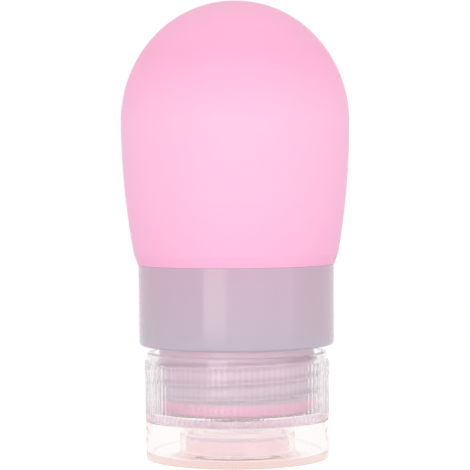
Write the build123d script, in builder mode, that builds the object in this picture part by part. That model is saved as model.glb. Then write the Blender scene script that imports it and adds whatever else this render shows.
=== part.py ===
from build123d import *
from math import asin, cos, degrees, radians, sin
import os

os.makedirs("parts", exist_ok=True)

# A squeezable travel bottle, standing upside down on its closed flip lid.
# Millimetres. The origin is the centre of the lid's flat underside, +Z runs up the bottle's
# axis to the top of the soft bulb, and the lid's hinge is at the back, towards +Y.

# Hard neck sleeve, whose radius sets the width of every piece round it
NECK_RADIUS = 14.3
SLEEVE_WALL = 1.2
SHOULDER_STEP = 1.0
SKIRT_WALL = 1.2
FLANGE_THICKNESS = 1.2
SLEEVE_EDGE_CHAMFER = 0.25
THREAD_DEPTH = 0.85

# Hard collar band
COLLAR_WALL = 1.45
COLLAR_DRAFT = 0.2
COLLAR_HEIGHT = 14.8
COLLAR_FLOOR = 1.2
COLLAR_LOWER_FILLET = 1.0
COLLAR_UPPER_CHAMFER = 0.25
COLLAR_CAP_GAP = 1.25

# Soft bulb
BULB_OVERHANG = 0.4
BULB_SWELL = 2.55
DOME_HEIGHT = 22.1
DOME_JOIN_ANGLE = 45
SIDE_HEIGHT = 26.3
BULB_WALL = 2.2
BULB_FOOT_FILLET = 0.9
NECK_WALL = 1.8
LIP_OVERHANG = 1.2
LIP_THICKNESS = 2.1
LIP_CHAMFER = 0.35

# Screw cap
CAP_HEIGHT = 12.35
CAP_WALL = 1.3
CAP_PLATE = 0.95
PLAIN_BAND_HEIGHT = 0.95
RIM_STEP = 0.5
RIM_HEIGHT = 1.75
RIM_CHAMFER = 0.35
RIB_COUNT = 100
RIB_DEPTH = 0.25
RIB_CREST_SHARE = 0.5
OUTLET_RADIUS = 1.1
CAP_EDGE_CHAMFER = 0.15

# Soft drip valve
VALVE_INSET = 0.25
VALVE_FLANGE = 0.6
VALVE_HUB_RADIUS = 5.2
VALVE_HUB_WALL = 1.1
VALVE_HUB_HEIGHT = 1.9
VALVE_DOME_RISE = 0.7
VALVE_MEMBRANE = 0.5
DOME_MIDWAY_SHARE = 0.75
SLIT_LENGTH = 4.6
SLIT_WIDTH = 0.12

# Flip lid
LID_STEP = 0.1
LID_HEIGHT = 7.2
LID_PLATE = 1.3
LID_WALL = 1.1
LID_EDGE_CHAMFER = 0.3
LID_RING_RADIUS = 10.65
LID_RING_WALL = 0.9
LID_RING_HEIGHT = 3.3

# Soft plug in the lid
PLUG_BASE_HEIGHT = 2.7
PLUG_HEAD_STEP = 1.5
PLUG_HEAD_HEIGHT = 0.9
PLUG_CHAMFER = 0.25
PLUG_PIN_RADIUS = 0.92
PLUG_PIN_TAPER = 0.15

# Hinge of the lid
KNUCKLE_RADIUS = 1.5
KNUCKLE_STANDOFF = 0.2
LID_KNUCKLE_WIDTH = 4.2
CAP_KNUCKLE_WIDTH = 2.1
HINGE_WEB_THICKNESS = 0.95
PIN_RADIUS = 0.75
PIN_HEAD_RADIUS = 1.1
PIN_HEAD_HEIGHT = 0.35

# Clearances
SEAM_GAP = 0.1
SEAT_GAP = 0.05
FIT_GAP = 0.05
THREAD_PASS_GAP = 0.2
THREAD_PLAY = 0.55
KNUCKLE_SIDE_GAP = 0.1
RUNNING_CLEARANCE = 0.05
OVERRUN = 1.0

# Heights up the axis, from the lid's underside
CAP_BOTTOM = LID_HEIGHT + SEAM_GAP
CAP_TOP = CAP_BOTTOM + CAP_HEIGHT
CAP_PLATE_TOP = CAP_BOTTOM + CAP_PLATE
BAND_TOP = CAP_BOTTOM + PLAIN_BAND_HEIGHT
RIB_TOP = CAP_TOP - RIM_HEIGHT
VALVE_BOTTOM = CAP_PLATE_TOP + SEAT_GAP
VALVE_TOP = VALVE_BOTTOM + VALVE_FLANGE
LIP_BOTTOM = VALVE_TOP + SEAT_GAP
LIP_TOP = LIP_BOTTOM + LIP_THICKNESS
MOUTH_Z = LIP_TOP + SEAT_GAP
COLLAR_BOTTOM = CAP_TOP + COLLAR_CAP_GAP
COLLAR_TOP = COLLAR_BOTTOM + COLLAR_HEIGHT
FLANGE_BOTTOM = COLLAR_BOTTOM + COLLAR_FLOOR + SEAT_GAP
FLANGE_TOP = FLANGE_BOTTOM + FLANGE_THICKNESS
BULB_FOOT = COLLAR_TOP + SEAT_GAP
EQUATOR_Z = BULB_FOOT + SIDE_HEIGHT
BULB_TOP = EQUATOR_Z + DOME_HEIGHT

# Radii, each worked out from the piece that it goes round or passes through
SLEEVE_BORE = NECK_RADIUS - SLEEVE_WALL
NECK_OUTSIDE = SLEEVE_BORE - FIT_GAP
NECK_BORE = NECK_OUTSIDE - NECK_WALL
LIP_RADIUS = NECK_OUTSIDE + LIP_OVERHANG
SHOULDER_RADIUS = NECK_RADIUS + SHOULDER_STEP
SKIRT_BORE = SHOULDER_RADIUS + FIT_GAP
SKIRT_RADIUS = SKIRT_BORE + SKIRT_WALL
COLLAR_BORE = SKIRT_RADIUS + FIT_GAP
COLLAR_RADIUS = COLLAR_BORE + COLLAR_WALL
COLLAR_PASS_RADIUS = NECK_RADIUS + THREAD_DEPTH + THREAD_PASS_GAP
BULB_FOOT_RADIUS = COLLAR_RADIUS + BULB_OVERHANG
BULB_RADIUS = BULB_FOOT_RADIUS + BULB_SWELL
CAP_BORE = NECK_RADIUS + THREAD_DEPTH + THREAD_PLAY
CAP_RADIUS = CAP_BORE + CAP_WALL
RIM_RADIUS = CAP_RADIUS - RIM_STEP
VALVE_RADIUS = LIP_RADIUS - VALVE_INSET
VALVE_SEAT_RADIUS = VALVE_RADIUS + FIT_GAP
LID_RADIUS = CAP_RADIUS - LID_STEP
RING_BORE = LID_RING_RADIUS - LID_RING_WALL
PLUG_RADIUS = RING_BORE - FIT_GAP
PLUG_HEAD_RADIUS = PLUG_RADIUS - PLUG_HEAD_STEP
HINGE_Y = CAP_RADIUS + KNUCKLE_RADIUS + KNUCKLE_STANDOFF
HINGE_Z = CAP_BOTTOM

# Arcs of the bulb's profile: the side arc and the lower dome arc both stand upright at the
# equator, and the crown arc, centred on the axis, joins the dome arc at DOME_JOIN_ANGLE.
JOIN_COS = cos(radians(DOME_JOIN_ANGLE))
JOIN_SIN = sin(radians(DOME_JOIN_ANGLE))
JOIN_SPAN = 1 - JOIN_SIN - JOIN_COS
DOME_ARC_RADIUS = (BULB_RADIUS * (1 - JOIN_SIN) - DOME_HEIGHT * JOIN_COS) / JOIN_SPAN
CROWN_ARC_RADIUS = (DOME_HEIGHT * (1 - JOIN_COS) - BULB_RADIUS * JOIN_SIN) / JOIN_SPAN
SIDE_ARC_RADIUS = (SIDE_HEIGHT**2 + BULB_SWELL**2) / (2 * BULB_SWELL)


def bulb_arcs(inset, foot_z):
    """The bulb's three tangent arcs, from the crown down to a height, set in by a wall."""
    crown = CROWN_ARC_RADIUS - inset
    dome = DOME_ARC_RADIUS - inset
    side = SIDE_ARC_RADIUS - inset
    foot_angle = degrees(asin((EQUATOR_Z - foot_z) / side))
    CenterArc((0, BULB_TOP - CROWN_ARC_RADIUS), crown, 90, DOME_JOIN_ANGLE - 90)
    CenterArc((BULB_RADIUS - DOME_ARC_RADIUS, EQUATOR_Z), dome, DOME_JOIN_ANGLE, -DOME_JOIN_ANGLE)
    return CenterArc((BULB_RADIUS - SIDE_ARC_RADIUS, EQUATOR_Z), side, 0, -foot_angle)


def rib_outline():
    """Corner points of the ribbed skin: flat crests with V-shaped valleys between them."""
    pitch = 360 / RIB_COUNT
    half_crest = pitch * RIB_CREST_SHARE / 2
    points = []
    for index in range(RIB_COUNT):
        middle = index * pitch
        for angle, radius in (
            (middle - half_crest, CAP_RADIUS),
            (middle + half_crest, CAP_RADIUS),
            (middle + pitch / 2, CAP_RADIUS - RIB_DEPTH),
        ):
            points.append((radius * cos(radians(angle)), radius * sin(radians(angle))))
    return points


def corners(*places):
    """Vertices of the open sketch nearest to these places."""
    return [vertices().sort_by_distance(place)[0] for place in places]


# Bulb, shoulder, neck and rolled lip, all one soft moulding
well_radius = SHOULDER_RADIUS - BULB_WALL
well_bottom = FLANGE_TOP + SEAT_GAP + BULB_WALL
funnel_bottom = well_bottom - (well_radius - NECK_BORE)
with BuildPart() as bottle_body:
    with BuildSketch(Plane.XZ):
        with BuildLine():
            outer_side = bulb_arcs(0, BULB_FOOT)
            inner_side = bulb_arcs(BULB_WALL, BULB_FOOT + BULB_WALL)
            Polyline(
                outer_side @ 1,
                (SHOULDER_RADIUS, BULB_FOOT),
                (SHOULDER_RADIUS, FLANGE_TOP + SEAT_GAP),
                (NECK_OUTSIDE, FLANGE_TOP + SEAT_GAP),
                (NECK_OUTSIDE, LIP_TOP),
                (LIP_RADIUS, LIP_TOP),
                (LIP_RADIUS, LIP_BOTTOM),
                (NECK_BORE, LIP_BOTTOM),
                (NECK_BORE, funnel_bottom),
                (well_radius, well_bottom),
                (well_radius, BULB_FOOT),
                inner_side @ 1,
            )
            Line((0, BULB_TOP - BULB_WALL), (0, BULB_TOP))
        make_face()
        fillet(corners((BULB_FOOT_RADIUS, BULB_FOOT)), BULB_FOOT_FILLET)
        chamfer(corners((LIP_RADIUS, LIP_TOP), (LIP_RADIUS, LIP_BOTTOM)), LIP_CHAMFER)
    revolve(axis=Axis.Z)
bottle_body.part.label = "bottle_body"
export_step(bottle_body.part, "parts/bottle_body.step")

# Neck sleeve: the threaded neck's plain core, a flange, and a skirt that holds the shoulder
with BuildPart() as neck_sleeve:
    with BuildSketch(Plane.XZ):
        with BuildLine():
            Polyline(
                (SLEEVE_BORE, MOUTH_Z),
                (NECK_RADIUS, MOUTH_Z),
                (NECK_RADIUS, FLANGE_BOTTOM),
                (SKIRT_RADIUS, FLANGE_BOTTOM),
                (SKIRT_RADIUS, COLLAR_TOP - COLLAR_UPPER_CHAMFER),
                (SKIRT_BORE, COLLAR_TOP - COLLAR_UPPER_CHAMFER),
                (SKIRT_BORE, FLANGE_TOP),
                (SLEEVE_BORE, FLANGE_TOP),
                close=True,
            )
        make_face()
        chamfer(
            corners(
                (NECK_RADIUS, MOUTH_Z),
                (SKIRT_RADIUS, FLANGE_BOTTOM),
                (SKIRT_RADIUS, COLLAR_TOP - COLLAR_UPPER_CHAMFER),
            ),
            SLEEVE_EDGE_CHAMFER,
        )
    revolve(axis=Axis.Z)
neck_sleeve.part.label = "neck_sleeve"
export_step(neck_sleeve.part, "parts/neck_sleeve.step")

# Collar band: a drafted cup whose floor covers the flange and lets the thread pass
collar_foot_radius = COLLAR_RADIUS - COLLAR_DRAFT
with BuildPart() as collar_band:
    with BuildSketch(Plane.XZ):
        with BuildLine():
            Polyline(
                (COLLAR_PASS_RADIUS, COLLAR_BOTTOM),
                (collar_foot_radius, COLLAR_BOTTOM),
                (COLLAR_RADIUS, COLLAR_TOP),
                (COLLAR_BORE, COLLAR_TOP),
                (COLLAR_BORE, COLLAR_BOTTOM + COLLAR_FLOOR),
                (COLLAR_PASS_RADIUS, COLLAR_BOTTOM + COLLAR_FLOOR),
                close=True,
            )
        make_face()
        fillet(corners((collar_foot_radius, COLLAR_BOTTOM)), COLLAR_LOWER_FILLET)
        chamfer(corners((COLLAR_RADIUS, COLLAR_TOP)), COLLAR_UPPER_CHAMFER)
    revolve(axis=Axis.Z)
collar_band.part.label = "collar_band"
export_step(collar_band.part, "parts/collar_band.step")

# Drip valve: a sealing flange, a hub ring and a domed membrane with a cross slit
hub_bore = VALVE_HUB_RADIUS - VALVE_HUB_WALL
membrane_foot = VALVE_TOP
with BuildPart() as drip_valve:
    with BuildSketch(Plane.XZ):
        with BuildLine():
            Polyline(
                (hub_bore, VALVE_BOTTOM),
                (VALVE_RADIUS, VALVE_BOTTOM),
                (VALVE_RADIUS, VALVE_TOP),
                (VALVE_HUB_RADIUS, VALVE_TOP),
                (VALVE_HUB_RADIUS, VALVE_BOTTOM + VALVE_HUB_HEIGHT),
                (hub_bore, VALVE_BOTTOM + VALVE_HUB_HEIGHT),
                (hub_bore, membrane_foot + VALVE_MEMBRANE),
            )
            ThreePointArc(
                (hub_bore, membrane_foot + VALVE_MEMBRANE),
                (
                    hub_bore / 2,
                    membrane_foot + VALVE_MEMBRANE + VALVE_DOME_RISE * DOME_MIDWAY_SHARE,
                ),
                (0, membrane_foot + VALVE_MEMBRANE + VALVE_DOME_RISE),
            )
            Line(
                (0, membrane_foot + VALVE_MEMBRANE + VALVE_DOME_RISE),
                (0, membrane_foot + VALVE_DOME_RISE),
            )
            ThreePointArc(
                (0, membrane_foot + VALVE_DOME_RISE),
                (hub_bore / 2, membrane_foot + VALVE_DOME_RISE * DOME_MIDWAY_SHARE),
                (hub_bore, membrane_foot),
            )
            Line((hub_bore, membrane_foot), (hub_bore, VALVE_BOTTOM))
        make_face()
    revolve(axis=Axis.Z)
    with BuildSketch(Plane.XY.offset(VALVE_BOTTOM)):
        Rectangle(SLIT_LENGTH, SLIT_WIDTH)
        Rectangle(SLIT_WIDTH, SLIT_LENGTH)
    extrude(amount=VALVE_HUB_HEIGHT + OVERRUN, mode=Mode.SUBTRACT)
drip_valve.part.label = "drip_valve"
export_step(drip_valve.part, "parts/drip_valve.step")

# Screw cap: plate with the outlet, plain band, ribbed wall, stepped rim and hinge ears
ear_middle = (LID_KNUCKLE_WIDTH + CAP_KNUCKLE_WIDTH) / 2 + KNUCKLE_SIDE_GAP
with BuildPart() as cap_shell:
    with BuildSketch(Plane.XZ):
        with BuildLine():
            Polyline(
                (OUTLET_RADIUS, CAP_BOTTOM),
                (CAP_RADIUS, CAP_BOTTOM),
                (CAP_RADIUS, BAND_TOP),
                (CAP_BORE, BAND_TOP),
                (CAP_BORE, VALVE_TOP),
                (VALVE_SEAT_RADIUS, VALVE_TOP),
                (VALVE_SEAT_RADIUS, CAP_PLATE_TOP),
                (OUTLET_RADIUS, CAP_PLATE_TOP),
                close=True,
            )
        make_face()
        chamfer(corners((CAP_RADIUS, CAP_BOTTOM)), CAP_EDGE_CHAMFER)
    revolve(axis=Axis.Z)
    with BuildSketch(Plane.XY.offset(BAND_TOP)):
        Polygon(*rib_outline(), align=None)
        Circle(CAP_BORE, mode=Mode.SUBTRACT)
    extrude(amount=RIB_TOP - BAND_TOP)
    with BuildSketch(Plane.XZ):
        with BuildLine():
            Polyline(
                (CAP_BORE, RIB_TOP),
                (RIM_RADIUS, RIB_TOP),
                (RIM_RADIUS, CAP_TOP),
                (CAP_BORE, CAP_TOP),
                close=True,
            )
        make_face()
        chamfer(corners((RIM_RADIUS, CAP_TOP)), RIM_CHAMFER)
    revolve(axis=Axis.Z)
    for side in (-1, 1):
        with BuildSketch(Plane.YZ.offset(side * ear_middle)):
            with Locations((HINGE_Y, HINGE_Z)):
                Circle(KNUCKLE_RADIUS)
            with BuildLine():
                Polyline(
                    (CAP_RADIUS - CAP_WALL / 2, HINGE_Z),
                    (HINGE_Y, HINGE_Z),
                    (HINGE_Y, HINGE_Z + HINGE_WEB_THICKNESS),
                    (CAP_RADIUS - CAP_WALL / 2, HINGE_Z + HINGE_WEB_THICKNESS),
                    close=True,
                )
            make_face()
            with Locations((HINGE_Y, HINGE_Z)):
                Circle(PIN_RADIUS + FIT_GAP, mode=Mode.SUBTRACT)
        extrude(amount=CAP_KNUCKLE_WIDTH / 2, both=True)
cap_shell.part.label = "cap_shell"
export_step(cap_shell.part, "parts/cap_shell.step")

# Flip lid: plate, outer wall, inner ring and the middle knuckle of the hinge
with BuildPart() as flip_lid:
    with BuildSketch(Plane.XZ):
        with BuildLine():
            Polyline(
                (0, 0),
                (LID_RADIUS, 0),
                (LID_RADIUS, LID_HEIGHT),
                (LID_RADIUS - LID_WALL, LID_HEIGHT),
                (LID_RADIUS - LID_WALL, LID_PLATE),
                (LID_RING_RADIUS, LID_PLATE),
                (LID_RING_RADIUS, LID_PLATE + LID_RING_HEIGHT),
                (RING_BORE, LID_PLATE + LID_RING_HEIGHT),
                (RING_BORE, LID_PLATE),
                (0, LID_PLATE),
                close=True,
            )
        make_face()
        chamfer(corners((LID_RADIUS, 0)), LID_EDGE_CHAMFER)
    revolve(axis=Axis.Z)
    with BuildSketch(Plane.YZ):
        with Locations((HINGE_Y, HINGE_Z)):
            Circle(KNUCKLE_RADIUS)
        with BuildLine():
            Polyline(
                (LID_RADIUS - LID_WALL / 2, LID_HEIGHT - HINGE_WEB_THICKNESS),
                (HINGE_Y, LID_HEIGHT - HINGE_WEB_THICKNESS),
                (HINGE_Y, LID_HEIGHT),
                (LID_RADIUS - LID_WALL / 2, LID_HEIGHT),
                close=True,
            )
        make_face()
        with Locations((HINGE_Y, HINGE_Z)):
            Circle(PIN_RADIUS + RUNNING_CLEARANCE, mode=Mode.SUBTRACT)
    extrude(amount=LID_KNUCKLE_WIDTH / 2, both=True)
flip_lid.part.label = "flip_lid"
export_step(flip_lid.part, "parts/flip_lid.step")

# Soft plug: it fills the lid's ring, and its pin closes the outlet in the cap's plate
plug_bottom = LID_PLATE + SEAT_GAP
plug_step = plug_bottom + PLUG_BASE_HEIGHT
plug_head = plug_step + PLUG_HEAD_HEIGHT
with BuildPart() as lid_plug:
    with BuildSketch(Plane.XZ):
        with BuildLine():
            Polyline(
                (0, plug_bottom),
                (PLUG_RADIUS, plug_bottom),
                (PLUG_RADIUS, plug_step),
                (PLUG_HEAD_RADIUS, plug_step),
                (PLUG_HEAD_RADIUS, plug_head),
                (PLUG_PIN_RADIUS, plug_head),
                (PLUG_PIN_RADIUS, CAP_BOTTOM - SEAM_GAP),
                (PLUG_PIN_RADIUS - PLUG_PIN_TAPER, CAP_PLATE_TOP),
                (0, CAP_PLATE_TOP),
                close=True,
            )
        make_face()
        chamfer(
            corners(
                (PLUG_RADIUS, plug_step),
                (PLUG_HEAD_RADIUS, plug_head),
                (PLUG_PIN_RADIUS - PLUG_PIN_TAPER, CAP_PLATE_TOP),
            ),
            PLUG_CHAMFER,
        )
    revolve(axis=Axis.Z)
lid_plug.part.label = "lid_plug"
export_step(lid_plug.part, "parts/lid_plug.step")

# Hinge pin, with a small head at each end
ear_outside = ear_middle + CAP_KNUCKLE_WIDTH / 2
with BuildPart() as hinge_pin:
    with BuildSketch(Plane.YZ):
        with Locations((HINGE_Y, HINGE_Z)):
            Circle(PIN_RADIUS)
    extrude(amount=ear_outside + SEAT_GAP + PIN_HEAD_HEIGHT, both=True)
    for side in (-1, 1):
        with BuildSketch(Plane.YZ.offset(side * (ear_outside + SEAT_GAP))):
            with Locations((HINGE_Y, HINGE_Z)):
                Circle(PIN_HEAD_RADIUS)
        extrude(amount=side * PIN_HEAD_HEIGHT)
hinge_pin.part.label = "hinge_pin"
export_step(hinge_pin.part, "parts/hinge_pin.step")
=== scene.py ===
import math

import bmesh
import bpy
from mathutils import Euler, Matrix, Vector


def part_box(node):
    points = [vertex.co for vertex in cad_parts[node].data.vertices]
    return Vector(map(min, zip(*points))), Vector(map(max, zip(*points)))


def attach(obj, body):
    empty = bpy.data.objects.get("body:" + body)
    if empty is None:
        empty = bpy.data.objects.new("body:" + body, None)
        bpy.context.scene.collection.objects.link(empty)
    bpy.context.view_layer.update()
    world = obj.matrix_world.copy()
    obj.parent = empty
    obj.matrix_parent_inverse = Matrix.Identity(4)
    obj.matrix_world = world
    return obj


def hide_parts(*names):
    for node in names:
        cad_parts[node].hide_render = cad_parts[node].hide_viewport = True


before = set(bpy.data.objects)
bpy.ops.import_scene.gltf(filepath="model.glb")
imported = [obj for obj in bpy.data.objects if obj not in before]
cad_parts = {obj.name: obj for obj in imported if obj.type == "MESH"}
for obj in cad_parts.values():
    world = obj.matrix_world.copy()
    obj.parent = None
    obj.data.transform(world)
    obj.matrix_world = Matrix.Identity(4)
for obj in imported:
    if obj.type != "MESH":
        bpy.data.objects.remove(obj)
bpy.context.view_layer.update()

MM = 0.001
TAU = 2 * math.pi

# Mesh density and tolerances
PLAIN_SEGMENTS = 192
NECK_SEGMENTS = 240
SEGMENTS_PER_RIB = 8
FILLET_STEPS = 6
ARC_STEPS = 24
KNUCKLE_SEGMENTS = 72
KNUCKLE_ROW_SHARES = (0, 0.25, 0.5, 0.75, 1)
SHARP_ANGLE = 40
MERGE_DISTANCE = 1e-7
SAME_RADIUS = 1e-6
SMALLEST_SINE = 1e-9

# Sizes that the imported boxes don't give, with lengths in metres
SEAT_GAP = 0.05 * MM
FOOT_GAP = 0.01 * MM
DOME_HEIGHT = 22.1 * MM
DOME_JOIN_ANGLE = math.radians(45)
BULB_SWELL = 2.55 * MM
BULB_WALL = 2.2 * MM
BULB_FOOT_HEIGHT = 2.0 * MM
BULB_FOOT_FILLET = 0.06 * MM
SHOULDER_RADIUS = 15.3 * MM
WELL_FILLET = 1.5 * MM
NECK_WALL = 1.8 * MM
LIP_RADIUS = 14.25 * MM
LIP_FILLET = 0.35 * MM
LIP_SEAM_FILLET = 0.04 * MM

NECK_RADIUS = 14.3 * MM
SLEEVE_WALL = 1.2 * MM
SLEEVE_FILLET = 0.25 * MM
FLANGE_THICKNESS = 1.2 * MM
THREAD_PITCH = 3.0 * MM
THREAD_START = 0.3 * MM
THREAD_TURNS = 2.6
THREAD_DEPTH = 0.9 * MM
THREAD_SLIMNESS = 3
THREAD_FADE_SHARE = 0.3
THREAD_PHASE = 0.45
THREAD_ROW_SPACING = 0.15 * MM

COLLAR_DRAFT = 0.08 * MM
COLLAR_FLOOR = 1.2 * MM
COLLAR_PASS_RADIUS = 15.35 * MM
COLLAR_LOWER_FILLET = 0.75 * MM
COLLAR_UPPER_FILLET = 0.05 * MM

CAP_BOTTOM = 7.3 * MM
CAP_WALL = 1.3 * MM
CAP_PLATE = 0.95 * MM
CAP_FOOT_FILLET = 0.2 * MM
RIM_STEP = 0.5 * MM
RIM_HEIGHT = 1.75 * MM
RIM_FILLET = 0.4 * MM
RIB_COUNT = 100
RIB_CREST_SHARE = 0.5
RIB_DEPTH = 0.1 * MM
RIB_FADE = 0.25 * MM
GROOVE_SHARPNESS = 2
GROOVE_FROST = 0.09
GROOVE_MARGIN = 0.1 * MM
OUTLET_RADIUS = 1.1 * MM
CAP_THREAD_DEPTH = 0.03 * MM
CAP_THREAD_MARGIN = 1.2 * MM
CAP_THREAD_PHASE = 0.5

LID_HEIGHT = 7.2 * MM
LID_PLATE = 1.3 * MM
LID_WALL = 1.1 * MM
LID_FILLET = 0.15 * MM
LID_FOOT_FILLET = 0.35 * MM
LID_RING_RADIUS = 10.65 * MM
LID_RING_WALL = 0.9 * MM
LID_RING_HEIGHT = 3.3 * MM

PLUG_BASE_HEIGHT = 2.7 * MM
PLUG_HEAD_STEP = 1.5 * MM
PLUG_HEAD_HEIGHT = 0.9 * MM
PLUG_PIN_RADIUS = 0.92 * MM
PLUG_PIN_TAPER = 0.15 * MM
PLUG_FILLET = 0.3 * MM
PLUG_STEP_FILLET = 0.1 * MM

KNUCKLE_RADIUS = 1.5 * MM
LID_KNUCKLE_WIDTH = 4.2 * MM
CAP_KNUCKLE_WIDTH = 2.1 * MM
KNUCKLE_SIDE_GAP = 0.1 * MM
KNUCKLE_BEVEL = 0.12 * MM
HINGE_WEB_THICKNESS = 0.95 * MM
PIN_PASS_RADIUS = 0.8 * MM
WEB_GAP = 0.02 * MM

# Looks: noise scales in cycles a metre; depths are the colours that thick clear plastic takes on
BUMP_DETAIL = 4
TINT_FADE = (0.3, 0.7)
CLEAR_DENSITY = 20
CLEAR_NOISE_SCALE = 120
CLEAR_TINTS = ((0.999, 0.998, 0.998), (1.0, 1.0, 1.0))
CAP_DEPTHS = (0.93, 0.56, 0.72)
LID_DEPTHS = (0.82, 0.41, 0.34)
SOFT_DEPTHS = (0.98, 0.88, 0.9)
PLUG_DRIFT = 0.01
GLOSS = {"Coat_Weight": 0.25, "Coat_IOR": 1.5, "Coat_Roughness": 0.05}

# Floor and world
FLOOR_RADIUS = 0.15
FLOOR_DROP = 0.02 * MM
FLOOR_COLOUR = (0.8, 0.8, 0.8)
FLOOR_GLOW = 0.75
WORLD_FILL = 0.85

# Camera: lengths in metres, angles in degrees, the lens and its shift in pixels of the photograph
CAMERA_DISTANCE = 0.369
CAMERA_HEIGHT = 0.0519
CAMERA_PITCH = 1.68
CAMERA_ROLL = -0.45
CAMERA_CLIP = (0.01, 100)
SENSOR_WIDTH = 36
FOCAL_PIXELS = 2000
PHOTO_SIDE = 470
SHIFT_PIXELS = -0.9

# Lamps: name, place, target, size, power in watts
LAMPS = (
    ("softbox", (-0.254, -0.544, 0.03), (0, 0, 0.03), (0.28, 0.2), 0.55),
    ("side_softbox", (0.53, -0.32, 0.03), (0, 0, 0.03), (0.25, 0.2), 0.14),
    ("front_fill", (0.22, -0.78, 0.12), (0, 0, 0.04), (0.9, 0.7), 1.54),
)


# Mesh helpers
def rounded(points):
    """Closed outline with each corner (r, z, fillet) turned into a short curve."""
    outline = []
    count = len(points)
    for index, point in enumerate(points):
        here = Vector(point[:2])
        size = point[2] if len(point) > 2 else 0
        if size == 0:
            outline.append(tuple(here))
            continue
        before = Vector(points[index - 1][:2]) - here
        after = Vector(points[(index + 1) % count][:2]) - here
        reach = size / math.tan(before.angle(after) / 2)
        reach = min(reach, before.length / 2, after.length / 2)
        start = here + before.normalized() * reach
        end = here + after.normalized() * reach
        for step in range(FILLET_STEPS + 1):
            t = step / FILLET_STEPS
            outline.append(tuple(start * (1 - t) ** 2 + here * 2 * t * (1 - t) + end * t**2))
    return outline


def arc(centre, radius, start, end, steps):
    """Points along a circular arc, without its first point."""
    points = []
    for step in range(1, steps + 1):
        angle = start + (end - start) * step / steps
        points.append((centre[0] + radius * math.cos(angle), centre[1] + radius * math.sin(angle)))
    return points


def steps_between(start, end, spacing):
    """Evenly spaced outline points from start to end, both included."""
    start, end = Vector(start), Vector(end)
    count = max(1, math.ceil((end - start).length / spacing))
    return [tuple(start.lerp(end, index / count)) for index in range(count + 1)]


def add_rings(mesh, rings):
    """Skins a list of vertex rings, the last one joined to the first."""
    for row, ring in enumerate(rings):
        other = rings[(row + 1) % len(rings)]
        for index in range(len(ring)):
            following = (index + 1) % len(ring)
            corners = [ring[index], ring[following], other[following], other[index]]
            corners = list(dict.fromkeys(corners))
            if len(corners) > 2:
                mesh.faces.new(corners)


def add_turned(mesh, outline, segments=PLAIN_SEGMENTS, shaped=None):
    """A closed outline of (r, z) turned about the axis; shaped(r, z, angle) may move the radius."""
    rings = []
    for r, z in outline:
        if r < MERGE_DISTANCE:
            rings.append([mesh.verts.new((0, 0, z))] * segments)
            continue
        ring = []
        for index in range(segments):
            angle = TAU * index / segments
            radius = shaped(r, z, angle) if shaped else r
            ring.append(mesh.verts.new((radius * math.cos(angle), radius * math.sin(angle), z)))
        rings.append(ring)
    add_rings(mesh, rings)


def add_knuckle(mesh, middle_x, width, wall_radius, web_side):
    """A hinge knuckle round the pin, with its web reaching to just short of a round wall."""
    reach = hinge_y - wall_radius + CAP_WALL

    def outer(angle):
        across, up = -math.cos(angle), math.sin(angle) * web_side
        if across <= 0 or up < 0:
            return KNUCKLE_RADIUS
        along_web = min(reach / across, HINGE_WEB_THICKNESS / max(up, SMALLEST_SINE))
        return max(KNUCKLE_RADIUS, along_web)

    def ring(x, radius_at):
        wall_y = math.sqrt((wall_radius + WEB_GAP) ** 2 - x**2)
        places = []
        for index in range(KNUCKLE_SEGMENTS):
            angle = TAU * index / KNUCKLE_SEGMENTS
            radius = radius_at(angle)
            y = max(hinge_y + radius * math.cos(angle), wall_y)
            places.append(mesh.verts.new((x, y, hinge_z + radius * math.sin(angle))))
        return places

    low, high = middle_x - width / 2, middle_x + width / 2
    rings = [ring(low, lambda angle: PIN_PASS_RADIUS)]
    rings.append(ring(low, lambda angle: outer(angle) - KNUCKLE_BEVEL))
    for share in KNUCKLE_ROW_SHARES:
        x = low + KNUCKLE_BEVEL + share * (width - 2 * KNUCKLE_BEVEL)
        rings.append(ring(x, outer))
    rings.append(ring(high, lambda angle: outer(angle) - KNUCKLE_BEVEL))
    rings.append(ring(high, lambda angle: PIN_PASS_RADIUS))
    add_rings(mesh, rings)


def finished(name, mesh):
    """Writes a bmesh to a new smooth-shaded object, with its hard edges kept sharp."""
    bmesh.ops.remove_doubles(mesh, verts=mesh.verts, dist=MERGE_DISTANCE)
    bmesh.ops.recalc_face_normals(mesh, faces=mesh.faces)
    data = bpy.data.meshes.new(name)
    mesh.to_mesh(data)
    mesh.free()
    data.shade_smooth()
    data.set_sharp_from_angle(angle=math.radians(SHARP_ANGLE))
    piece = bpy.data.objects.new(name, data)
    bpy.context.scene.collection.objects.link(piece)
    return piece


def thread_height(z, angle, low, high, phase, depth):
    """How far a right-hand thread stands out at a height and angle, fading in at both ends."""
    along = (z - low) / THREAD_PITCH - angle / TAU - phase
    crest = ((1 + math.cos(TAU * along)) / 2) ** THREAD_SLIMNESS
    fade = min(z - low, high - z) / (THREAD_FADE_SHARE * THREAD_PITCH)
    return depth * crest * max(0, min(1, fade))


# Material helpers
def node_of(owner, kind):
    """The first node of a kind in the node tree of a material or world."""
    return next(node for node in owner.node_tree.nodes if node.type == kind)


def principled(name, **values):
    """A new material with these Principled BSDF socket values."""
    material = bpy.data.materials.new(name)
    material.use_nodes = True
    shader = node_of(material, "BSDF_PRINCIPLED")
    for socket, value in values.items():
        shader.inputs[socket.replace("_", " ")].default_value = value
    return material


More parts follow.
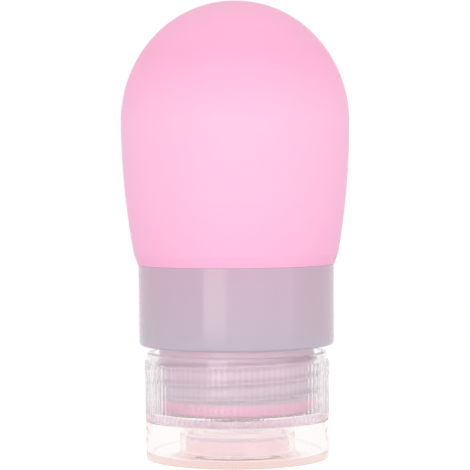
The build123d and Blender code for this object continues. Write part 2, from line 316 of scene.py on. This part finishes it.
def add_bump(material, scale, strength, distance):
    """Fine noise bump in object space."""
    nodes, links = material.node_tree.nodes, material.node_tree.links
    where = nodes.new("ShaderNodeTexCoord")
    noise = nodes.new("ShaderNodeTexNoise")
    noise.inputs["Scale"].default_value = scale
    noise.inputs["Detail"].default_value = BUMP_DETAIL
    bump = nodes.new("ShaderNodeBump")
    bump.inputs["Strength"].default_value = strength
    bump.inputs["Distance"].default_value = distance
    links.new(where.outputs["Object"], noise.inputs["Vector"])
    links.new(noise.outputs["Fac"], bump.inputs["Height"])
    links.new(bump.outputs["Normal"], node_of(material, "BSDF_PRINCIPLED").inputs["Normal"])


def add_tint(material, scale, tints):
    """Slow, faint colour drift between two colours in object space."""
    nodes, links = material.node_tree.nodes, material.node_tree.links
    where = nodes.new("ShaderNodeTexCoord")
    noise = nodes.new("ShaderNodeTexNoise")
    noise.inputs["Scale"].default_value = scale
    ramp = nodes.new("ShaderNodeValToRGB")
    for element, place, tint in zip(ramp.color_ramp.elements, TINT_FADE, tints):
        element.position = place
        element.color = (*tint, 1)
    links.new(where.outputs["Object"], noise.inputs["Vector"])
    links.new(noise.outputs["Fac"], ramp.inputs["Fac"])
    links.new(ramp.outputs["Color"], node_of(material, "BSDF_PRINCIPLED").inputs["Base Color"])


def add_colours_by_height(material, scale, drift, stops):
    """Colours by height, in metres up the bottle, with a faint slow drift; on the bulb, neck and
    plug these colours carry painted light and shade.
    """
    nodes, links = material.node_tree.nodes, material.node_tree.links
    where = nodes.new("ShaderNodeTexCoord")
    split = nodes.new("ShaderNodeSeparateXYZ")
    height = nodes.new("ShaderNodeMapRange")
    noise = nodes.new("ShaderNodeTexNoise")
    wander = nodes.new("ShaderNodeMath")
    ramp = nodes.new("ShaderNodeValToRGB")
    low, high = stops[0][0], stops[-1][0]
    height.inputs["From Min"].default_value = low
    height.inputs["From Max"].default_value = high
    noise.inputs["Scale"].default_value = scale
    wander.operation = "MULTIPLY_ADD"
    wander.inputs[1].default_value = drift
    while len(ramp.color_ramp.elements) < len(stops):
        ramp.color_ramp.elements.new(1)
    for element, (place, colour) in zip(ramp.color_ramp.elements, stops):
        element.position = (place - low) / (high - low)
        element.color = (*colour, 1)
    links.new(where.outputs["Object"], split.inputs["Vector"])
    links.new(where.outputs["Object"], noise.inputs["Vector"])
    links.new(split.outputs["Z"], height.inputs["Value"])
    links.new(noise.outputs["Fac"], wander.inputs[0])
    links.new(height.outputs["Result"], wander.inputs[2])
    links.new(wander.outputs[0], ramp.inputs["Fac"])
    links.new(ramp.outputs["Color"], node_of(material, "BSDF_PRINCIPLED").inputs["Base Color"])


def bulb_silicone():
    """Soft matte silicone, palest at the lip and strongest near the crown: the pale lip is painted
    light that makes up for the shade inside the cap, and the darker crown is painted shade.
    """
    material = principled(
        "bulb_silicone",
        Roughness=0.5,
        Subsurface_Weight=0.2,
        Subsurface_Radius=(1.0, 0.5, 0.8),
        Subsurface_Scale=0.7 * MM,
        IOR=1.35,
    )
    # Painted light and shade by height: the lip stop is paler to make up for the shade inside the
    # cap, and the crown stops are darker where the dome is less lit.
    stops = [
        (10 * MM, (1.0, 0.60, 0.73)),
        (20 * MM, (1.0, 0.58, 0.73)),
        (36 * MM, (1.0, 0.475, 0.70)),
        (50 * MM, (1.0, 0.51, 0.71)),
        (64 * MM, (0.99, 0.52, 0.71)),
        (76 * MM, (0.96, 0.43, 0.64)),
        (84 * MM, (0.95, 0.46, 0.65)),
    ]
    add_colours_by_height(material, scale=60, drift=0.06, stops=stops)
    add_bump(material, scale=2500, strength=0.08, distance=0.05 * MM)
    return material


def hard_lilac(name, roughness, stops):
    """Glossy, slightly translucent hard plastic."""
    material = principled(
        name,
        Roughness=roughness,
        Subsurface_Weight=0.6,
        Subsurface_Radius=(1.0, 0.8, 1.0),
        Subsurface_Scale=0.4 * MM,
        IOR=1.4,
    )
    add_colours_by_height(material, scale=90, drift=0.15, stops=stops)
    add_bump(material, scale=900, strength=0.03, distance=0.03 * MM)
    return material


def add_frosted_grooves(material, low, high, inner_radius):
    """Makes the grooves between the ribs milky, so that each shows as a light line."""
    nodes, links = material.node_tree.nodes, material.node_tree.links
    where = nodes.new("ShaderNodeTexCoord")
    split = nodes.new("ShaderNodeSeparateXYZ")
    flat = nodes.new("ShaderNodeCombineXYZ")
    radius = nodes.new("ShaderNodeVectorMath")
    radius.operation = "LENGTH"
    links.new(where.outputs["Object"], split.inputs["Vector"])
    links.new(split.outputs["X"], flat.inputs["X"])
    links.new(split.outputs["Y"], flat.inputs["Y"])
    links.new(flat.outputs["Vector"], radius.inputs[0])

    def math_node(operation, *values):
        node = nodes.new("ShaderNodeMath")
        node.operation = operation
        for socket, value in zip(node.inputs, values):
            if isinstance(value, (int, float)):
                socket.default_value = value
            else:
                links.new(value, socket)
        return node.outputs[0]

    angle = math_node("ARCTAN2", split.outputs["Y"], split.outputs["X"])
    wave = math_node("COSINE", math_node("MULTIPLY", angle, RIB_COUNT))
    groove = math_node("POWER", math_node("MULTIPLY_ADD", wave, -0.5, 0.5), GROOVE_SHARPNESS)
    above = math_node("GREATER_THAN", split.outputs["Z"], low)
    below = math_node("LESS_THAN", split.outputs["Z"], high)
    outside = math_node("GREATER_THAN", radius.outputs["Value"], inner_radius)
    ribbed = math_node("MULTIPLY", math_node("MULTIPLY", above, below), outside)
    milky = math_node("MULTIPLY", groove, ribbed)
    clear_share = math_node("MULTIPLY_ADD", milky, -GROOVE_FROST, 1)
    links.new(clear_share, node_of(material, "BSDF_PRINCIPLED").inputs["Transmission Weight"])


def clear_plastic(name, roughness, index, depths, stops=None, **values):
    """See-through plastic whose thick parts take on a colour; stops colour its faces by height, and
    on the plug they carry painted highlights and painted shade.
    """
    material = principled(name, Roughness=roughness, Transmission_Weight=1.0, IOR=index, **values)
    if stops:
        add_colours_by_height(material, CLEAR_NOISE_SCALE, PLUG_DRIFT, stops)
    else:
        add_tint(material, CLEAR_NOISE_SCALE, CLEAR_TINTS)
    volume = material.node_tree.nodes.new("ShaderNodeVolumeAbsorption")
    volume.inputs["Color"].default_value = (*depths, 1)
    volume.inputs["Density"].default_value = CLEAR_DENSITY
    surface = node_of(material, "OUTPUT_MATERIAL")
    material.node_tree.links.new(volume.outputs["Volume"], surface.inputs["Volume"])
    return material


def dress(piece, material, body, slot, *nodes):
    """Gives a piece its material and body, and hides the nodes that it stands for; the slot is not
    used.
    """
    piece.data.materials.clear()
    piece.data.materials.append(material)
    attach(piece, body)
    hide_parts(*nodes)


# Places read from the frame
def low_z(node):
    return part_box(node)[0].z


def high_z(node):
    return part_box(node)[1].z


def half_width(node):
    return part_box(node)[1].x


collar_low, collar_high = low_z("collar_band"), high_z("collar_band")
bulb_top, bulb_radius = high_z("bottle_body"), half_width("bottle_body")
lip_low = low_z("bottle_body")
sleeve_low, skirt_high = low_z("neck_sleeve"), high_z("neck_sleeve")
skirt_radius = half_width("neck_sleeve")
cap_radius, cap_top = half_width("cap_shell"), high_z("cap_shell")
lid_radius = half_width("flip_lid")
hinge_y = (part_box("hinge_pin")[0].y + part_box("hinge_pin")[1].y) / 2
hinge_z = (low_z("hinge_pin") + high_z("hinge_pin")) / 2
flange_low = collar_low + COLLAR_FLOOR + SEAT_GAP
shelf = flange_low + FLANGE_THICKNESS + SEAT_GAP
sleeve_bore = NECK_RADIUS - SLEEVE_WALL


# Bulb with its shoulder, neck and rolled lip
def bulb_arcs(inset, start):
    """The bulb's profile as tangent arcs from a start height up to the crown, set in by a wall."""
    equator = bulb_top - DOME_HEIGHT
    height = equator - (collar_high + SEAT_GAP)
    cosine, sine = math.cos(DOME_JOIN_ANGLE), math.sin(DOME_JOIN_ANGLE)
    span = 1 - sine - cosine
    dome = (bulb_radius * (1 - sine) - DOME_HEIGHT * cosine) / span
    crown = (DOME_HEIGHT * (1 - cosine) - bulb_radius * sine) / span
    side = (height**2 + BULB_SWELL**2) / (2 * BULB_SWELL)
    start_angle = -math.asin((equator - start) / (side - inset))
    points = [(bulb_radius - side + (side - inset) * math.cos(start_angle), start)]
    points += arc((bulb_radius - side, equator), side - inset, start_angle, 0, ARC_STEPS)
    points += arc((bulb_radius - dome, equator), dome - inset, 0, DOME_JOIN_ANGLE, ARC_STEPS)
    points += arc((0, bulb_top - crown), crown - inset, DOME_JOIN_ANGLE, TAU / 4, ARC_STEPS)
    points[-1] = (0, bulb_top - inset)
    return points


def make_bulb():
    foot = collar_high + FOOT_GAP
    neck_outside = sleeve_bore - SEAT_GAP
    neck_bore = neck_outside - NECK_WALL
    well = SHOULDER_RADIUS - BULB_WALL
    lip_high = sleeve_low - FOOT_GAP
    outside = bulb_arcs(0, foot + BULB_FOOT_HEIGHT)
    foot_radius = half_width("collar_band") + SEAT_GAP
    inside = bulb_arcs(BULB_WALL, foot + BULB_WALL)[::-1]
    neck = [
        (well, foot, WELL_FILLET),
        (well, shelf + BULB_WALL),
        (neck_bore, shelf + BULB_WALL - (well - neck_bore), WELL_FILLET),
        (neck_bore, lip_low, LIP_FILLET),
        (LIP_RADIUS, lip_low, LIP_FILLET),
        (LIP_RADIUS, lip_high, LIP_SEAM_FILLET),
        (neck_outside, lip_high),
        (neck_outside, shelf),
        (SHOULDER_RADIUS, shelf),
        (SHOULDER_RADIUS, foot),
        (foot_radius, foot, BULB_FOOT_FILLET),
        (*outside[0], BULB_FOOT_HEIGHT),
    ]
    mesh = bmesh.new()
    add_turned(mesh, rounded(neck + outside[1:] + inside))
    return finished("silicone_bottle", mesh)


# Collar band
def make_collar():
    mesh = bmesh.new()
    bore = skirt_radius + SEAT_GAP
    radius = half_width("collar_band")
    outline = [
        (COLLAR_PASS_RADIUS, collar_low, COLLAR_UPPER_FILLET),
        (radius - COLLAR_DRAFT, collar_low, COLLAR_LOWER_FILLET),
        (radius, collar_high, COLLAR_UPPER_FILLET),
        (bore, collar_high),
        (bore, collar_low + COLLAR_FLOOR),
        (COLLAR_PASS_RADIUS, collar_low + COLLAR_FLOOR),
    ]
    add_turned(mesh, rounded(outline))
    return finished("collar_ring", mesh)


# Neck sleeve with its thread
def make_sleeve():
    thread_low = sleeve_low + THREAD_START
    thread_high = thread_low + THREAD_TURNS * THREAD_PITCH
    skirt_bore = SHOULDER_RADIUS + SEAT_GAP
    outline = rounded(
        [
            (skirt_radius, flange_low, SLEEVE_FILLET),
            (skirt_radius, skirt_high, SLEEVE_FILLET),
            (skirt_bore, skirt_high),
            (skirt_bore, flange_low + FLANGE_THICKNESS),
            (sleeve_bore, flange_low + FLANGE_THICKNESS),
            (sleeve_bore, sleeve_low),
            (NECK_RADIUS, sleeve_low, LIP_SEAM_FILLET),
        ]
    )
    thread_start, thread_end = (NECK_RADIUS, thread_low), (NECK_RADIUS, thread_high)
    outline += steps_between(thread_start, thread_end, THREAD_ROW_SPACING)
    outline.append((NECK_RADIUS, flange_low))

    def threaded(r, z, angle):
        if abs(r - NECK_RADIUS) > SAME_RADIUS or not thread_low < z < thread_high:
            return r
        return r + thread_height(z, angle, thread_low, thread_high, THREAD_PHASE, THREAD_DEPTH)

    mesh = bmesh.new()
    add_turned(mesh, outline, NECK_SEGMENTS, threaded)
    return finished("threaded_neck", mesh)


# Screw cap with its ribs, inner thread and hinge ears
def make_cap():
    plate_top = CAP_BOTTOM + CAP_PLATE
    rib_top = cap_top - RIM_HEIGHT
    bore = cap_radius - CAP_WALL
    rim = cap_radius - RIM_STEP
    seat_top = lip_low - SEAT_GAP
    seat = half_width("drip_valve") + SEAT_GAP
    thread_low = seat_top + CAP_THREAD_MARGIN
    thread_high = cap_top - CAP_THREAD_MARGIN
    foot = [
        (OUTLET_RADIUS, CAP_BOTTOM),
        (cap_radius, CAP_BOTTOM, CAP_FOOT_FILLET),
        (cap_radius, plate_top),
    ]
    outline = [(OUTLET_RADIUS, plate_top)] + rounded(foot)
    outline += [(cap_radius, plate_top + RIB_FADE), (cap_radius, rib_top - RIB_FADE)]
    outline += [(cap_radius, rib_top)]
    outline += rounded([(rim, rib_top), (rim, cap_top, RIM_FILLET), (bore, cap_top)])
    outline += steps_between((bore, thread_high), (bore, thread_low), THREAD_ROW_SPACING)
    outline += [(bore, seat_top), (seat, seat_top), (seat, plate_top)]

    def ribbed(r, z, angle):
        if abs(r - cap_radius) < SAME_RADIUS and plate_top < z < rib_top:
            turned = angle * RIB_COUNT / TAU
            off_crest = abs(turned - round(turned)) * 2
            valley = max(0, (off_crest - RIB_CREST_SHARE) / (1 - RIB_CREST_SHARE))
            return r - RIB_DEPTH * (1 - math.cos(math.pi * valley)) / 2
        if abs(r - bore) < SAME_RADIUS and thread_low < z < thread_high:
            return r - thread_height(
                z, angle, thread_low, thread_high, CAP_THREAD_PHASE, CAP_THREAD_DEPTH
            )
        return r

    mesh = bmesh.new()
    add_turned(mesh, outline, RIB_COUNT * SEGMENTS_PER_RIB, ribbed)
    ear_middle = (LID_KNUCKLE_WIDTH + CAP_KNUCKLE_WIDTH) / 2 + KNUCKLE_SIDE_GAP
    for side in (-1, 1):
        add_knuckle(mesh, side * ear_middle, CAP_KNUCKLE_WIDTH, cap_radius, 1)
    return finished("ribbed_cap", mesh)


# Flip lid with its inner ring and middle knuckle
def make_lid():
    ring_top = LID_PLATE + LID_RING_HEIGHT
    ring_bore = LID_RING_RADIUS - LID_RING_WALL
    mesh = bmesh.new()
    outline = [
        (0, 0),
        (lid_radius, 0, LID_FOOT_FILLET),
        (lid_radius, LID_HEIGHT, LID_FILLET),
        (lid_radius - LID_WALL, LID_HEIGHT, LID_FILLET),
        (lid_radius - LID_WALL, LID_PLATE, LID_FILLET),
        (LID_RING_RADIUS, LID_PLATE, LID_FILLET),
        (LID_RING_RADIUS, ring_top, LID_FILLET),
        (ring_bore, ring_top, LID_FILLET),
        (ring_bore, LID_PLATE),
        (0, LID_PLATE),
    ]
    add_turned(mesh, rounded(outline))
    add_knuckle(mesh, 0, LID_KNUCKLE_WIDTH, lid_radius, -1)
    return finished("lid_cup", mesh)


# Soft plug in the lid
def make_plug():
    bottom, top = low_z("lid_plug"), high_z("lid_plug")
    radius = half_width("lid_plug")
    step = bottom + PLUG_BASE_HEIGHT
    head = step + PLUG_HEAD_HEIGHT
    head_radius = radius - PLUG_HEAD_STEP
    mesh = bmesh.new()
    outline = [
        (0, bottom),
        (radius, bottom),
        (radius, step, PLUG_FILLET),
        (head_radius, step, PLUG_STEP_FILLET),
        (head_radius, head, PLUG_FILLET),
        (PLUG_PIN_RADIUS, head, PLUG_FILLET),
        (PLUG_PIN_RADIUS, LID_HEIGHT),
        (PLUG_PIN_RADIUS - PLUG_PIN_TAPER, top, PLUG_FILLET),
        (0, top),
    ]
    add_turned(mesh, rounded(outline))
    return finished("plug_pad", mesh)


# Colours by height, in metres; the neck and plug stops carry painted light and shade
collar_stops = [
    (collar_low, (0.555, 0.50, 0.58)),
    (collar_low + 4 * MM, (0.56, 0.465, 0.54)),
    (collar_high, (0.59, 0.425, 0.52)),
]
# Painted light: the neck's colours are paler than its plastic to make up for the shade between
# collar and cap, and darker towards the bottom, under the cap.
neck_stops_painted_light = [
    (sleeve_low, (0.75, 0.65, 0.72)),
    (collar_low, (0.88, 0.68, 0.78)),
]
plug_low = low_z("lid_plug")
plug_step = plug_low + PLUG_BASE_HEIGHT
plug_head = plug_step + PLUG_HEAD_HEIGHT
# Partly the plug's own pink and peach tint, partly painted light: the white bands are painted
# highlights, and the darker lilac band at the head step is painted shade.
plug_stops_tint_and_painted_light = [
    (plug_low, (1.0, 1.0, 1.0)),
    (plug_low + 0.3 * MM, (0.95, 0.77, 0.74)),
    (plug_step - 0.5 * MM, (0.94, 0.76, 0.83)),
    (plug_step, (0.76, 0.62, 0.75)),
    (plug_step + 0.3 * MM, (0.95, 0.92, 0.95)),
    (plug_head, (1.0, 1.0, 1.0)),
    (plug_head + 0.1 * MM, (1.0, 0.82, 0.88)),
    (plug_head + 0.9 * MM, (1.0, 0.82, 0.88)),
    (plug_head + 1.3 * MM, (1.0, 1.0, 1.0)),
]

# Materials, and the pieces that wear them
silicone = bulb_silicone()
collar_plastic = hard_lilac("collar_plastic", roughness=0.12, stops=collar_stops)
neck_plastic = hard_lilac("neck_plastic", roughness=0.2, stops=neck_stops_painted_light)
cap_clear = clear_plastic("cap_clear", roughness=0.15, index=1.28, depths=CAP_DEPTHS, **GLOSS)
lid_clear = clear_plastic("lid_clear", roughness=0.02, index=1.3, depths=LID_DEPTHS)
plug_clear = clear_plastic(
    "plug_clear", roughness=0.05, index=1.07, depths=SOFT_DEPTHS, stops=plug_stops_tint_and_painted_light
)
valve_clear = clear_plastic("valve_clear", roughness=0.05, index=1.12, depths=SOFT_DEPTHS)
add_frosted_grooves(
    cap_clear,
    low=CAP_BOTTOM + CAP_PLATE,
    high=cap_top - RIM_HEIGHT,
    inner_radius=cap_radius - RIB_DEPTH - GROOVE_MARGIN,
)

dress(make_bulb(), silicone, "bottle", "bulb_silicone", "bottle_body")
dress(make_collar(), collar_plastic, "bottle", "collar_plastic", "collar_band")
dress(make_sleeve(), neck_plastic, "bottle", "neck_plastic", "neck_sleeve")
dress(make_cap(), cap_clear, "cap", "clear_plastic", "cap_shell")
dress(make_lid(), lid_clear, "lid", "clear_plastic", "flip_lid")
dress(make_plug(), plug_clear, "lid", "clear_silicone", "lid_plug")

for node, material in (("drip_valve", valve_clear), ("hinge_pin", cap_clear)):
    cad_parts[node].data.materials.clear()
    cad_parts[node].data.materials.append(material)


# Floor, world, lamps and camera
def larger(nodes, links, first, second):
    """A node that passes on the larger of two sockets."""
    pick = nodes.new("ShaderNodeMath")
    pick.operation = "MAXIMUM"
    links.new(first, pick.inputs[0])
    links.new(second, pick.inputs[1])
    return pick.outputs[0]


def scaled(nodes, links, socket, factor, offset):
    """A node that gives socket times factor plus offset."""
    sum_node = nodes.new("ShaderNodeMath")
    sum_node.operation = "MULTIPLY_ADD"
    sum_node.inputs[1].default_value = factor
    sum_node.inputs[2].default_value = offset
    links.new(socket, sum_node.inputs[0])
    return sum_node.outputs[0]


def ray_kinds(nodes, links):
    """Sockets that tell a camera ray, and a ray that has met gloss or clear plastic."""
    path = nodes.new("ShaderNodeLightPath")
    glossy, clear = path.outputs["Is Glossy Ray"], path.outputs["Is Transmission Ray"]
    return path.outputs["Is Camera Ray"], larger(nodes, links, glossy, clear)


def make_floor():
    """A white disc that keeps the shadow, and shows as plain white through clear plastic."""
    mesh = bmesh.new()
    bmesh.ops.create_circle(mesh, cap_ends=True, segments=PLAIN_SEGMENTS, radius=FLOOR_RADIUS)
    floor = finished("floor", mesh)
    floor.location.z = -FLOOR_DROP
    material = bpy.data.materials.new("floor_white")
    material.use_nodes = True
    nodes, links = material.node_tree.nodes, material.node_tree.links
    nodes.clear()
    output = nodes.new("ShaderNodeOutputMaterial")
    paint = nodes.new("ShaderNodeBsdfDiffuse")
    paint.inputs["Color"].default_value = (*FLOOR_COLOUR, 1)
    glow = nodes.new("ShaderNodeEmission")
    backdrop = nodes.new("ShaderNodeEmission")
    lit = nodes.new("ShaderNodeAddShader")
    mix = nodes.new("ShaderNodeMixShader")
    camera_ray, through = ray_kinds(nodes, links)
    links.new(scaled(nodes, links, camera_ray, FLOOR_GLOW, 0), glow.inputs["Strength"])
    links.new(paint.outputs[0], lit.inputs[0])
    links.new(glow.outputs[0], lit.inputs[1])
    links.new(through, mix.inputs[0])
    links.new(lit.outputs[0], mix.inputs[1])
    links.new(backdrop.outputs[0], mix.inputs[2])
    links.new(mix.outputs[0], output.inputs["Surface"])
    floor.data.materials.append(material)


def make_world():
    """An even white studio, a little dimmer as light on the object than as background."""
    world = bpy.data.worlds.new("studio")
    bpy.context.scene.world = world
    world.use_nodes = True
    nodes, links = world.node_tree.nodes, world.node_tree.links
    background = node_of(world, "BACKGROUND")
    background.inputs["Color"].default_value = (1, 1, 1, 1)
    camera_ray, through = ray_kinds(nodes, links)
    seen = larger(nodes, links, through, camera_ray)
    strength = scaled(nodes, links, seen, 1 - WORLD_FILL, WORLD_FILL)
    links.new(strength, background.inputs["Strength"])


def add_lamp(name, place, target, size, power):
    """A rectangular softbox turned towards its target."""
    data = bpy.data.lights.new(name, "AREA")
    data.shape = "RECTANGLE"
    data.size, data.size_y = size
    data.energy = power
    lamp = bpy.data.objects.new(name, data)
    lamp.location = place
    lamp.rotation_euler = (Vector(target) - Vector(place)).to_track_quat("-Z", "Y").to_euler()
    bpy.context.scene.collection.objects.link(lamp)


def make_camera():
    """The photograph's camera, straight in front and a little above the middle."""
    data = bpy.data.cameras.new("camera")
    data.sensor_width = SENSOR_WIDTH
    data.lens = FOCAL_PIXELS * data.sensor_width / PHOTO_SIDE
    data.shift_x = SHIFT_PIXELS / PHOTO_SIDE
    data.clip_start, data.clip_end = CAMERA_CLIP
    camera = bpy.data.objects.new("camera", data)
    camera.location = (0, -CAMERA_DISTANCE, CAMERA_HEIGHT)
    tilt = Euler((math.radians(90 - CAMERA_PITCH), 0, 0)).to_matrix()
    roll = Euler((0, 0, math.radians(CAMERA_ROLL))).to_matrix()
    camera.rotation_euler = (tilt @ roll).to_euler()
    bpy.context.scene.collection.objects.link(camera)
    bpy.context.scene.camera = camera


make_floor()
make_world()
make_camera()
for lamp in LAMPS:
    add_lamp(*lamp)
bpy.context.scene.view_settings.view_transform = "Standard"

# Clear shells inside each other need long light paths
cycles = bpy.context.scene.cycles
cycles.max_bounces = 64
cycles.glossy_bounces = 32
cycles.transmission_bounces = 64
